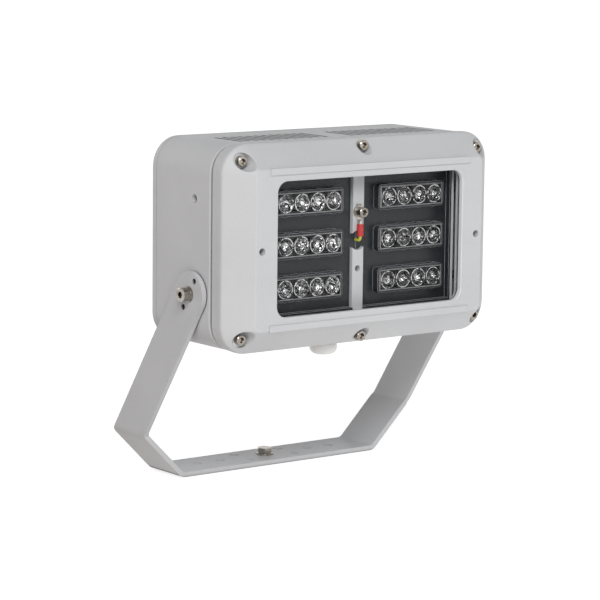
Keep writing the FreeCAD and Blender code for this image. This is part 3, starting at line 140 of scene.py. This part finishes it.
class Shader:
    """A material with a Principled surface and short ways to add nodes to it."""

    def __init__(self, name, colour, rough, metal=0.0):
        self.material = bpy.data.materials.new(name)
        self.material.use_nodes = True
        self.tree = self.material.node_tree
        self.surface = self.tree.nodes["Principled BSDF"]
        self.set("Base Color", (*colour, 1.0))
        self.set("Roughness", rough)
        self.set("Metallic", metal)
        self.place = self.add("ShaderNodeTexCoord").outputs["Object"]

    def set(self, socket, value):
        self.surface.inputs[socket].default_value = value

    def add(self, kind, **settings):
        node = self.tree.nodes.new(kind)
        for key, value in settings.items():
            setattr(node, key, value)
        return node

    def link(self, source, target):
        self.tree.links.new(source, target)

    def noise(self, scale, detail=2.0, rough=0.5):
        texture = self.add("ShaderNodeTexNoise")
        texture.inputs["Scale"].default_value = scale
        texture.inputs["Detail"].default_value = detail
        texture.inputs["Roughness"].default_value = rough
        self.link(self.place, texture.inputs["Vector"])
        return texture.outputs["Fac"]

    def ramp(self, source, stops):
        node = self.add("ShaderNodeValToRGB")
        for element, (spot, colour) in zip(node.color_ramp.elements, stops):
            element.position = spot
            element.color = (*colour, 1.0)
        self.link(source, node.inputs["Fac"])
        return node.outputs["Color"]

    def span(self, source, low, high, to_low, to_high):
        node = self.add("ShaderNodeMapRange")
        ends = {"From Min": low, "From Max": high, "To Min": to_low, "To Max": to_high}
        for socket, value in ends.items():
            node.inputs[socket].default_value = value
        self.link(source, node.inputs["Value"])
        return node.outputs["Result"]

    def past(self, source, edge, reach=1.0, soft=SOFT_EDGE):
        """0 before an edge and the reach past it."""
        return self.span(source, edge - soft, edge + soft, 0.0, reach)

    def before(self, source, edge, soft=SOFT_EDGE):
        """1 before an edge and 0 past it."""
        return self.span(source, edge - soft, edge + soft, 1.0, 0.0)

    def between(self, source, low, high, soft=SOFT_EDGE):
        """1 where the source lies between two values, 0 elsewhere."""
        return self.math("MULTIPLY", self.past(source, low, soft=soft), self.before(source, high, soft))

    def apart(self, source, middle):
        """Distance from a middle, to either side of it."""
        return self.math("ABSOLUTE", self.math("SUBTRACT", source, middle))

    def nearest(self, source, first, pitch):
        """Distance from the nearest middle of a row, with its sign."""
        return self.math("WRAP", self.math("SUBTRACT", source, first), pitch / 2, -pitch / 2)

    def bump(self, height, distance, strength=1.0, before=None):
        node = self.add("ShaderNodeBump")
        node.inputs["Distance"].default_value = distance
        node.inputs["Strength"].default_value = strength
        self.link(height, node.inputs["Height"])
        if before:
            self.link(before, node.inputs["Normal"])
        self.link(node.outputs["Normal"], self.surface.inputs["Normal"])
        return node.outputs["Normal"]

    def rounded(self, radius):
        """Soft edges, as a coat of paint or a mould gives."""
        node = self.add("ShaderNodeBevel", samples=4)
        node.inputs["Radius"].default_value = radius
        return node.outputs["Normal"]

    def math(self, operation, *values):
        node = self.add("ShaderNodeMath", operation=operation)
        for socket, value in zip(node.inputs, values):
            if isinstance(value, (int, float)):
                socket.default_value = value
            else:
                self.link(value, socket)
        return node.outputs["Value"]

    def axes(self):
        split = self.add("ShaderNodeSeparateXYZ")
        self.link(self.place, split.inputs["Vector"])
        return split.outputs["X"], split.outputs["Y"], split.outputs["Z"]

    def painted_crevice_shade(self, distance, stops, local=False):
        """Painted shade: ambient occlusion darkens grooves, sockets and slots."""
        node = self.add("ShaderNodeAmbientOcclusion", samples=8, only_local=local)
        node.inputs["Distance"].default_value = distance
        return self.ramp(node.outputs["AO"], [(spot, grey(tone)) for spot, tone in stops])

    def times(self, first, second):
        node = self.add("ShaderNodeMix", data_type="RGBA", blend_type="MULTIPLY")
        node.inputs[MIX_FACTOR].default_value = 1.0
        self.link(first, node.inputs[MIX_FIRST])
        self.link(second, node.inputs[MIX_SECOND])
        return node.outputs[MIX_RESULT]

    def blend(self, factor, first, second):
        """The first colour where the factor is 0, the second where it is 1."""
        node = self.add("ShaderNodeMix", data_type="RGBA")
        self.link(factor, node.inputs[MIX_FACTOR])
        for socket, value in ((node.inputs[MIX_FIRST], first), (node.inputs[MIX_SECOND], second)):
            if isinstance(value, tuple):
                socket.default_value = (*value, 1.0)
            else:
                self.link(value, socket)
        return node.outputs[MIX_RESULT]

    def colour(self, source):
        self.link(source, self.surface.inputs["Base Color"])

    def rough_from(self, source, low, high):
        self.link(self.span(source, 0.3, 0.7, low, high), self.surface.inputs["Roughness"])


# Materials.

def painted_slot_shade(s):
    """1 down in the slots across the housing's top, 0 elsewhere: there the paint is darkened as painted
    shade.
    """
    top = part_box("housing")[1][2]
    x, y, z = s.axes()
    along = s.between(s.math("ABSOLUTE", x), *SLOTS_X)
    back = s.between(y, *SLOTS_Y)
    down = s.between(z, top - SLOTS_DOWN[1], top - SLOTS_DOWN[0], 2 * SOFT_EDGE)
    return s.math("MULTIPLY", along, s.math("MULTIPLY", back, down))


def painted_lip_light(s):
    """1 on the wall of the window's lip, 0 elsewhere: there the paint is lightened as painted light."""
    low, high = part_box("window_glass")
    x, y, z = s.axes()
    wide = s.between(x, low[0] + GLASS_LAP, high[0] - GLASS_LAP)
    tall = s.between(z, low[2] + GLASS_LAP, high[2] - GLASS_LAP)
    deep = s.between(y, low[1] - LIP_AHEAD[0], low[1] - LIP_AHEAD[1])
    return s.math("MULTIPLY", deep, s.math("MULTIPLY", wide, tall))


def paint(name, colour=CASTING_GREY, rough=0.46, grain=620, depth=0.00009, edge=0.0007, local=False,
          painted_crevice_shade=((0.15, 0.15), (0.48, 1.0)), painted_light_patch=None):
    """Powder coat: fine orange peel over a slow waviness, with a little drift in tone, a fine
    speckle and painted shade in the grooves. The patch argument is a mask and how bright the paint is
    made there: painted light or shade."""
    s = Shader(name, colour, rough)
    peel = s.noise(grain, 3.0, 0.55)
    wave = s.noise(28, 1.0)
    drift = s.ramp(s.noise(9, 4.0, 0.6), [(0.3, shade(colour, 0.955)), (0.7, shade(colour, 1.03))])
    speckle = s.ramp(s.noise(1100, 2.0, 0.7), [(0.3, grey(0.93)), (0.7, WHITE)])
    # Ambient occlusion darkens the grooves and joints: painted shade.
    groove_shade = s.painted_crevice_shade(0.006, painted_crevice_shade, local)
    coat = s.times(s.times(drift, speckle), groove_shade)
    # A patch paints light or shade into the coat, lighter or darker by the given factor.
    if painted_light_patch:
        mask, painted_brightness = painted_light_patch
        coat = s.blend(mask(s), coat, shade(colour, painted_brightness))
    s.colour(coat)
    s.rough_from(peel, rough - 0.05, rough + 0.07)
    waved = s.bump(wave, 0.0005, 0.12, s.rounded(edge))
    s.bump(peel, depth, 0.5, waved)
    s.set("Specular IOR Level", 0.18)
    return s.material


def steel(name, colour, rough):
    """Bare metal with fine machining marks, a slight warm stain and painted shade in the sockets."""
    s = Shader(name, colour, rough, 1.0)
    marks = s.noise(900, 2.0, 0.6)
    warm = shade((colour[0], colour[1] * 0.94, colour[2] * 0.86), 0.7)
    stain = s.ramp(s.noise(160, 3.0), [(0.35, warm), (0.65, colour)])
    # Ambient occlusion darkens the sockets: painted shade.
    s.colour(s.times(stain, s.painted_crevice_shade(0.003, [(0.35, 0.05), (0.8, 1.0)], True)))
    s.rough_from(marks, rough - 0.07, rough + 0.1)
    s.bump(marks, 0.00003, 0.4, s.rounded(0.00025))
    return s.material


def plastic(name, colour, rough, grain=700, depth=0.00004, edge=0.0004, edge_highlight=None):
    """Moulded plastic, with a painted highlight that lightens its edges where a tone is given."""
    s = Shader(name, colour, rough)
    texture = s.noise(grain, 2.0)
    tone = s.ramp(s.noise(20, 3.0), [(0.3, shade(colour, 0.93)), (0.7, colour)])
    if edge_highlight:
        # Edges, found from the rounded normal, are lightened: painted highlight.
        turn = s.add("ShaderNodeVectorMath", operation="DOT_PRODUCT")
        s.link(s.rounded(edge), turn.inputs[0])
        s.link(s.add("ShaderNodeNewGeometry").outputs["True Normal"], turn.inputs[1])
        tone = s.blend(s.span(turn.outputs["Value"], 0.985, 0.85, 0.0, 1.0), tone, edge_highlight)
    s.colour(tone)
    s.rough_from(texture, rough - 0.06, rough + 0.08)
    s.bump(texture, depth, 0.5, s.rounded(edge))
    return s.material


def lens():
    """Clear moulding: faceted cones that throw the light back, each facet painted dark to white as
    glints, painted shade over one side of each lens, and a white rim round each lens, split into arcs
    of painted highlight, and a painted highlight along the plate's border."""
    s = Shader("clear_lens", (0.85, 0.86, 0.88), 0.16, 1.0)
    low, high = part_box("lens_bar_right_middle")
    middle_x = (low[0] + high[0]) / 2
    middle_z = (low[2] + high[2]) / 2
    row_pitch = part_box("lens_bar_right_top")[0][2] - low[2]
    x, y, z = s.axes()
    aside = s.math("ABSOLUTE", x)
    across = s.nearest(aside, middle_x - (LENS_COUNT - 1) / 2 * LENS_PITCH, LENS_PITCH)
    up = s.nearest(z, middle_z, row_pitch)
    out = s.math("SQRT", s.math("ADD", s.math("MULTIPLY", across, across), s.math("MULTIPLY", up, up)))

    plate = s.before(y, low[1] + LENS_PLATE)
    # The white rim is split into bright arcs: painted highlight.
    broken_highlight = s.span(s.noise(260, 1.0), 0.42, 0.52, 0.3, 1.0)
    rim = s.math("MULTIPLY", s.between(out, LENS_RIM - RIM_WIDTH, LENS_RIM + SOFT_EDGE), broken_highlight)
    # The plate's border is lightened: painted highlight.
    side = s.past(s.apart(aside, middle_x), (high[0] - low[0]) / 2 - PLATE_BORDER, 0.7)
    top = s.past(s.math("ABSOLUTE", up), (high[2] - low[2]) / 2 - PLATE_BORDER, 0.7)
    white = s.math("MULTIPLY", plate, s.math("MAXIMUM", rim, s.math("MAXIMUM", side, top)))
    web = s.math("MULTIPLY", plate, s.past(out, LENS_RIM))

    cells = s.add("ShaderNodeTexVoronoi")
    cells.inputs["Scale"].default_value = 420
    s.link(s.place, cells.inputs["Vector"])
    # Each facet's colour runs from dark to white: painted glints.
    facet_glints = s.ramp(cells.outputs["Color"], [(0.25, (0.07, 0.07, 0.08)), (0.6, WHITE)])
    # One side of each lens is darkened: painted shade.
    painted_half_shade = s.span(across, -LENS_SHADE, LENS_SHADE, 0.0, 1.0)
    facet_glints = s.times(facet_glints, s.ramp(painted_half_shade, [(0.3, WHITE), (0.9, grey(0.45))]))
    s.colour(s.blend(white, s.blend(web, facet_glints, (0.02, 0.02, 0.022)), grey(0.98)))
    s.link(s.math("SUBTRACT", 1.0, white), s.surface.inputs["Metallic"])

    solid = s.math("MAXIMUM", white, s.math("MULTIPLY", web, 0.55))
    s.link(s.math("MAXIMUM", solid, s.span(plate, 0.0, 1.0, 1.0, 0.08)), s.surface.inputs["Alpha"])
    s.bump(cells.outputs["Distance"], 0.0012)
    return s.material


def pane():
    """Toughened glass: nearly all light goes straight through, the rest is gloss."""
    s = Shader("window_glass", (0.02, 0.026, 0.025), 0.03)
    s.set("Alpha", 0.06)
    s.set("Specular IOR Level", 0.1)
    s.bump(s.noise(14, 1.0), 0.0004, 0.05)
    return s.material


def striped_wire():
    """Green insulation with a yellow stripe along it."""
    s = Shader("earth_wire", GREEN, 0.4)
    x, _, z = s.axes()
    slant = s.math("ADD", z, s.math("MULTIPLY", x, WIRE_SLANT))
    s.colour(s.ramp(s.span(slant, *WIRE_STRIPE, 0.0, 1.0), [(0.45, GREEN), (0.55, YELLOW)]))
    s.bump(s.noise(500, 1.0), 0.00003, 0.3)
    return s.material


materials = {
    "casting": paint("casting_paint"),
    # The cooling slots are painted dark: painted shade.
    "housing": paint("housing_paint", painted_light_patch=(painted_slot_shade, 0.1)),
    # The wall of the window's lip is painted lighter: painted light.
    "bezel": paint("bezel_paint", local=True, painted_light_patch=(painted_lip_light, 1.3)),
    # The bracket's holes and bends are darkened more: painted shade.
    "bracket": paint("bracket_paint", (0.58, 0.585, 0.597), 0.42, 800, 0.00006, 0.0008,
                     painted_crevice_shade=((0.4, 0.08), (0.7, 1.0))),
    "tray": paint("tray_paint", (0.71, 0.73, 0.745), 0.5, 700, 0.00005, 0.0004, local=True),
    "steel": steel("stainless", (0.42, 0.395, 0.365), 0.2),
    "bright": paint("bright_metal", (0.74, 0.75, 0.76), 0.35, 900, 0.00003, 0.0003, local=True),
    "tin": steel("tinned_copper", (0.75, 0.73, 0.70), 0.3),
    # The black covers' edges are lightened: painted highlight.
    "black": plastic("black_plastic", (0.020, 0.023, 0.028), 0.32, 900, 0.000008, 0.0009,
                     edge_highlight=(0.5, 0.51, 0.53)),
    "rubber": plastic("black_rubber", (0.018, 0.018, 0.020), 0.7),
    "gasket": plastic("grey_gasket", (0.46, 0.465, 0.475), 0.7),
    "white": plastic("white_plastic", (0.92, 0.91, 0.885), 0.35, 300),
    "red": plastic("red_sleeve", (0.68, 0.05, 0.05), 0.38, 300),
    "dark": plastic("dark_plastic", (0.02, 0.02, 0.022), 0.5),
    "cream": plastic("cream_plastic", (0.6, 0.55, 0.45), 0.5),
    "cable": plastic("cable_grey", grey(0.1), 0.5),
    "board": plastic("led_board", (0.02, 0.022, 0.022), 0.35),
    "emitter": plastic("emitter", (0.03, 0.028, 0.028), 0.2),
    "lens": lens(),
    "pane": pane(),
    "wire": striped_wire(),
}
HARDWARE = ("screw", "screws", "bolt", "washer", "washers")
FINISHES = {
    "bracket": "bracket",
    "cable_entry_plug": "white",
    "driver": "dark",
    "earth_lug": "tin",
    "earth_sleeve": "red",
    "earth_wire": "wire",
    "front_bezel": "bezel",
    "front_gasket": "rubber",
    "housing": "housing",
    "led_board": "board",
    "led_emitters": "emitter",
    "led_lead": "cable",
    "lens_bar": "lens",
    "light_cover": "black",
    "light_tray": "tray",
    "rear_cover": "casting",
    "rear_gasket": "gasket",
    "supply_lead": "cable",
    "terminal_block": "cream",
    "window_clamp": "bright",
    "window_glass": "pane",
    "window_seal": "rubber",
}


def finish_of(node):
    """The key of a CAD node's material: hardware is steel, the rest goes by its first words."""
    if node.endswith(HARDWARE):
        return "steel"
    return next(finish for start, finish in FINISHES.items() if node.startswith(start))


for name, thing in nodes.items():
    thing.data.materials.clear()
    thing.data.materials.append(materials[finish_of(name)])


# The cable entry's blanking plug: a shank in the bore and a round cap under the boss.

def lathe(name, profile, place):
    """Turn a profile of (radius, height) points about an upright axis."""
    mesh = bpy.data.meshes.new(name)
    form = bmesh.new()
    rings = []
    for radius, height in profile:
        sides = TURNED_SIDES if radius > 0 else 1
        ring = []
        for step in range(sides):
            angle = 2 * math.pi * step / sides
            spot = Vector((radius * math.cos(angle), radius * math.sin(angle), height))
            ring.append(form.verts.new(place + spot))
        rings.append(ring)
    for upper, lower in zip(rings, rings[1:]):
        for step in range(TURNED_SIDES):
            after = (step + 1) % TURNED_SIDES
            corners = [upper[step % len(upper)], upper[after % len(upper)],
                       lower[after % len(lower)], lower[step % len(lower)]]
            form.faces.new(list(dict.fromkeys(corners)))
    bmesh.ops.recalc_face_normals(form, faces=form.faces)
    for face in form.faces:
        face.smooth = True
    form.to_mesh(mesh)
    form.free()
    thing = bpy.data.objects.new(name, mesh)
    bpy.context.scene.collection.objects.link(thing)
    return thing


def entry_plug():
    low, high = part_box("cable_entry_plug")
    foot = Vector(((low[0] + high[0]) / 2, (low[1] + high[1]) / 2, low[2]))
    tall = high[2] - low[2]
    wide, deep = PLUG_ROUND
    profile = [(0, tall), (PLUG_SHANK - PLUG_EDGE, tall), (PLUG_SHANK, tall - PLUG_EDGE),
               (PLUG_SHANK, PLUG_SEAT), (PLUG_SHOULDER - PLUG_EDGE, PLUG_SEAT),
               (PLUG_SHOULDER, PLUG_SEAT - PLUG_EDGE), (PLUG_RIM, PLUG_FLANK)]
    for step in range(1, ROUND_STEPS + 1):
        turn = math.radians(90 * step / ROUND_STEPS)
        radius = PLUG_RIM - wide + wide * math.cos(turn)
        profile.append((radius, PLUG_FLANK - deep * math.sin(turn)))
    profile += PLUG_FOOT
    plug = lathe("entry_plug", profile, foot)
    plug.data.materials.append(materials["white"])
    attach(plug, "lamp_head")
    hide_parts("cable_entry_plug")


entry_plug()


# Floor, light and background.

def background_rays(tree):
    """1 for the rays that see the background: straight, in gloss or through glass."""
    path = tree.nodes.new("ShaderNodeLightPath")
    total = path.outputs["Is Camera Ray"]
    for kind in ("Is Glossy Ray", "Is Transmission Ray"):
        either = tree.nodes.new("ShaderNodeMath")
        either.operation = "MAXIMUM"
        tree.links.new(total, either.inputs[0])
        tree.links.new(path.outputs[kind], either.inputs[1])
        total = either.outputs["Value"]
    return total


def make_stage():
    """A floor that looks white and lights the part from below: bright in front and on the
    right, dim and warm behind and on the left."""
    bpy.ops.mesh.primitive_plane_add(size=FLOOR_SIZE, location=(0, 0, -FLOOR_DROP))
    floor = bpy.context.object
    floor.name = "floor"
    s = Shader("floor", grey(0.4), 0.7)
    s.colour(s.ramp(s.noise(3, 2.0), [(0.3, grey(0.39)), (0.7, grey(0.41))]))
    x, y, _ = s.axes()
    bounce = s.ramp(s.span(s.math("SUBTRACT", y, x), -0.5, 0.5, 0.0, 1.0),
                    [(0.2, grey(0.72)), (0.8, (0.16, 0.115, 0.09))])
    s.link(s.blend(background_rays(s.tree), bounce, grey(0.83)), s.surface.inputs["Emission Color"])
    s.set("Emission Strength", 1.0)
    floor.data.materials.append(s.material)


def make_world():
    """A white background, and a sky whose light is weakest from behind and above."""
    world = bpy.data.worlds.new("studio")
    bpy.context.scene.world = world
    world.use_nodes = True
    tree = world.node_tree
    background = tree.nodes["Background"]
    ray = tree.nodes.new("ShaderNodeTexCoord")
    dark_side = tree.nodes.new("ShaderNodeVectorMath")
    dark_side.operation = "DOT_PRODUCT"
    dark_side.inputs[1].default_value = DARK_SIDE
    tree.links.new(ray.outputs["Generated"], dark_side.inputs[0])
    sky = tree.nodes.new("ShaderNodeValToRGB")
    for element, (spot, tone) in zip(sky.color_ramp.elements, ((0.0, 0.44), (0.5, 0.06))):
        element.position = spot
        element.color = (*grey(tone), 1)
    tree.links.new(dark_side.outputs["Value"], sky.inputs["Fac"])
    seen = tree.nodes.new("ShaderNodeMix")
    seen.data_type = "RGBA"
    seen.inputs[MIX_SECOND].default_value = (*WHITE, 1)
    tree.links.new(background_rays(tree), seen.inputs[MIX_FACTOR])
    tree.links.new(sky.outputs["Color"], seen.inputs[MIX_FIRST])
    tree.links.new(seen.outputs[MIX_RESULT], background.inputs["Color"])


def softbox(name, azimuth, elevation, power):
    """A broad lamp that faces the lamp head."""
    back = toward(azimuth, elevation)
    data = bpy.data.lights.new(name, "AREA")
    data.shape = "RECTANGLE"
    data.size, data.size_y = LAMP_SIZE
    data.energy = power
    lamp = bpy.data.objects.new(name, data)
    lamp.location = PIVOT + back * LAMP_DISTANCE
    lamp.rotation_mode = "QUATERNION"
    lamp.rotation_quaternion = back.to_track_quat("Z", "Y")
    bpy.context.scene.collection.objects.link(lamp)


make_camera()
make_stage()
make_world()
for lamp in LAMPS:
    softbox(*lamp)
bpy.context.scene.view_settings.view_transform = "Standard"
